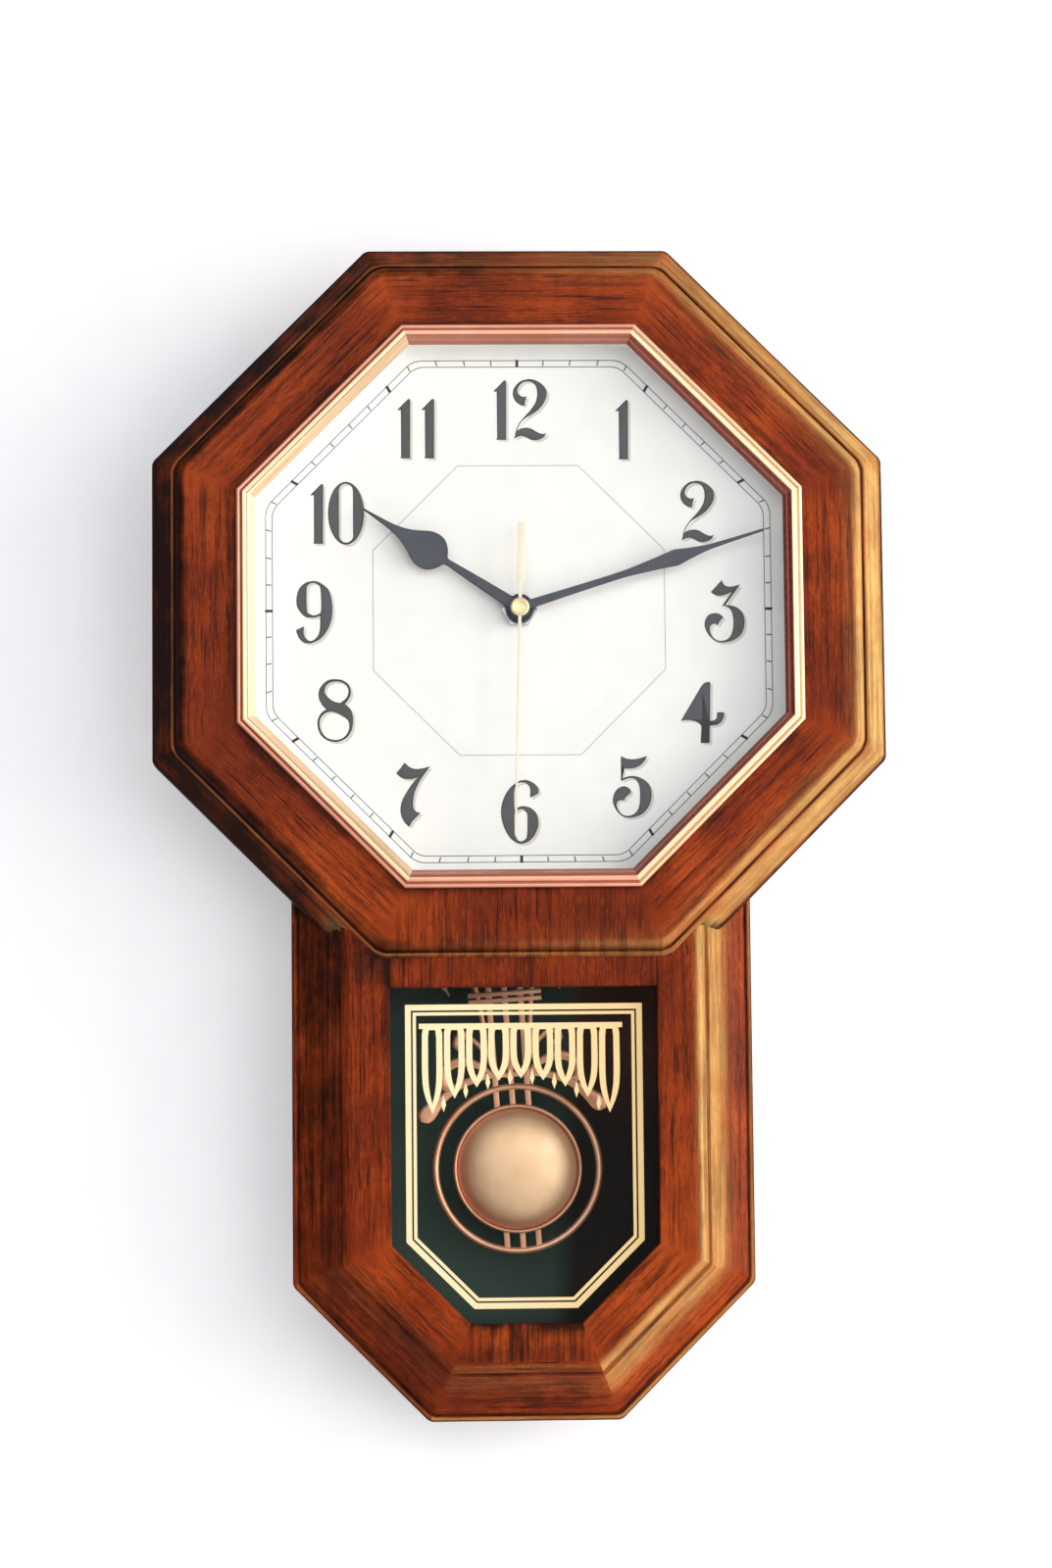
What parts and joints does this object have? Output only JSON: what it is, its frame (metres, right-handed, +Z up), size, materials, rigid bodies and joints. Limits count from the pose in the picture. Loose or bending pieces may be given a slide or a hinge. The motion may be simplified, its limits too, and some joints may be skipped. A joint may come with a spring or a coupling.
{
  "type": "schoolhouse wall clock",
  "caption": "Octagonal wall clock with a mitred wooden frame, copper bezel and glazed white dial over a drop window with a swinging lyre pendulum.",
  "frame": {"origin": "the hanging point: top of the keyhole slot, on the wall plane at the back of the clock", "axes": "+X to the right of someone who looks at the dial, +Y into the wall, +Z up"},
  "size_m": [0.286, 0.07, 0.457],
  "materials": {
    "mahogany": "satin lacquer, reddish brown with darkened mouldings",
    "case_wood": "stained, matt",
    "hardboard": "raw pressed board",
    "dark_card": "dark green-black, matt",
    "steel": "zinc plated",
    "rose_copper": "rose copper colour, polished, with antiqued lines",
    "glass": "clear",
    "dial_white": "white enamel, semi-gloss",
    "black_plastic": "black",
    "battery_wrap": "printed sleeve, plain",
    "circuit_green": "green solder mask",
    "copper_wire": "enamelled winding",
    "magnet_steel": "plain",
    "white_plastic": "white",
    "brass": "turned",
    "hand_slate": "satin slate black",
    "ivory_paint": "ivory paint with a pale gold cap",
    "copper_plate": "rose copper plate",
    "bob_gold": "pale gold dome in a copper rim, satin"
  },
  "bodies": {
    "case": {"head_rail_top": "mahogany", "head_rail_top_left": "mahogany", "head_rail_left": "mahogany", "head_rail_bottom_left": "mahogany", "head_rail_bottom": "mahogany", "head_rail_bottom_right": "mahogany", "head_rail_right": "mahogany", "head_rail_top_right": "mahogany", "drop_rail_left": "mahogany", "drop_rail_bottom_left": "mahogany", "drop_rail_bottom": "mahogany", "drop_rail_bottom_right": "mahogany", "drop_rail_right": "mahogany", "drop_rail_top": "mahogany", "case_head_top": "case_wood", "case_head_top_left": "case_wood", "case_head_left": "case_wood", "case_head_bottom_left": "case_wood", "case_drop_left": "case_wood", "case_drop_bottom_left": "case_wood", "case_drop_bottom": "case_wood", "case_drop_bottom_right": "case_wood", "case_drop_right": "case_wood", "case_head_bottom_right": "case_wood", "case_head_right": "case_wood", "case_head_top_right": "case_wood", "back_board": "hardboard", "drop_backing_card": "dark_card", "hanger_plate": "steel", "hanger_screw_left": "steel", "hanger_screw_right": "steel", "bezel": "rose_copper", "dial_glass": "glass", "dial_tray": "dial_white", "drop_glass": "glass", "movement_case": "black_plastic", "movement_cover": "black_plastic", "shaft_nut": "steel", "battery": "battery_wrap", "battery_contact_negative": "steel", "circuit_board": "circuit_green", "motor_coil": "copper_wire", "stator": "steel", "pendulum_coil": "copper_wire"},
    "minute_work": {"minute_pipe": "brass", "minute_hand": "hand_slate"},
    "motion_work": {"motion_wheel": "white_plastic", "set_knob": "black_plastic"},
    "hour_work": {"hour_wheel": "white_plastic", "hour_hand": "hand_slate"},
    "seconds_work": {"seconds_wheel": "white_plastic", "second_hand": "ivory_paint"},
    "third": {"third_wheel": "white_plastic"},
    "centre": {"centre_wheel": "white_plastic"},
    "reduction": {"reduction_wheel": "white_plastic"},
    "drive": {"drive_arm": "white_plastic", "drive_magnet": "magnet_steel"},
    "pendulum": {"pendulum_frame": "copper_plate", "pendulum_bob": "bob_gold"},
    "rotor": {"rotor": "magnet_steel"}
  },
  "joints": [
    {"name": "minute_turn", "type": "hinge", "parent": "case", "child": "minute_work", "pos_m": [0, -0.04, -0.1], "axis": [0, 1, 0], "continuous": true},
    {"name": "motion_turn", "type": "hinge", "parent": "case", "child": "motion_work", "pos_m": [0, -0.04, -0.111], "axis": [0, 1, 0], "continuous": true},
    {"name": "hour_turn", "type": "hinge", "parent": "case", "child": "hour_work", "pos_m": [0, -0.04, -0.1], "axis": [0, 1, 0], "continuous": true},
    {"name": "seconds_turn", "type": "hinge", "parent": "case", "child": "seconds_work", "pos_m": [0, -0.04, -0.1], "axis": [0, 1, 0], "continuous": true},
    {"name": "third_turn", "type": "hinge", "parent": "case", "child": "third", "pos_m": [-0.00883, -0.04, -0.0949], "axis": [0, 1, 0], "continuous": true},
    {"name": "centre_turn", "type": "hinge", "parent": "case", "child": "centre", "pos_m": [0, -0.04, -0.1], "axis": [0, 1, 0], "continuous": true},
    {"name": "reduction_turn", "type": "hinge", "parent": "case", "child": "reduction", "pos_m": [0.00883, -0.04, -0.0949], "axis": [0, 1, 0], "continuous": true},
    {"name": "rotor_turn", "type": "hinge", "parent": "case", "child": "rotor", "pos_m": [0.01101, -0.04, -0.08679], "axis": [0, 1, 0], "continuous": true},
    {"name": "drive_swing", "type": "hinge", "parent": "case", "child": "drive", "pos_m": [0, -0.0314, -0.133], "axis": [0, 1, 0], "range_deg": [-6, 6]},
    {"name": "pendulum_swing", "type": "hinge", "parent": "drive", "child": "pendulum", "pos_m": [0, -0.0274, -0.183], "axis": [0, 1, 0], "range_deg": [-4, 4]}
  ],
  "couplings": [
    {"joint": "motion_turn", "follows": "minute_turn", "ratio": -0.33333},
    {"joint": "hour_turn", "follows": "minute_turn", "ratio": 0.083333},
    {"joint": "third_turn", "follows": "seconds_turn", "ratio": -0.13333},
    {"joint": "centre_turn", "follows": "seconds_turn", "ratio": 0.016667},
    {"joint": "reduction_turn", "follows": "seconds_turn", "ratio": -5},
    {"joint": "rotor_turn", "follows": "seconds_turn", "ratio": 30}
  ]
}
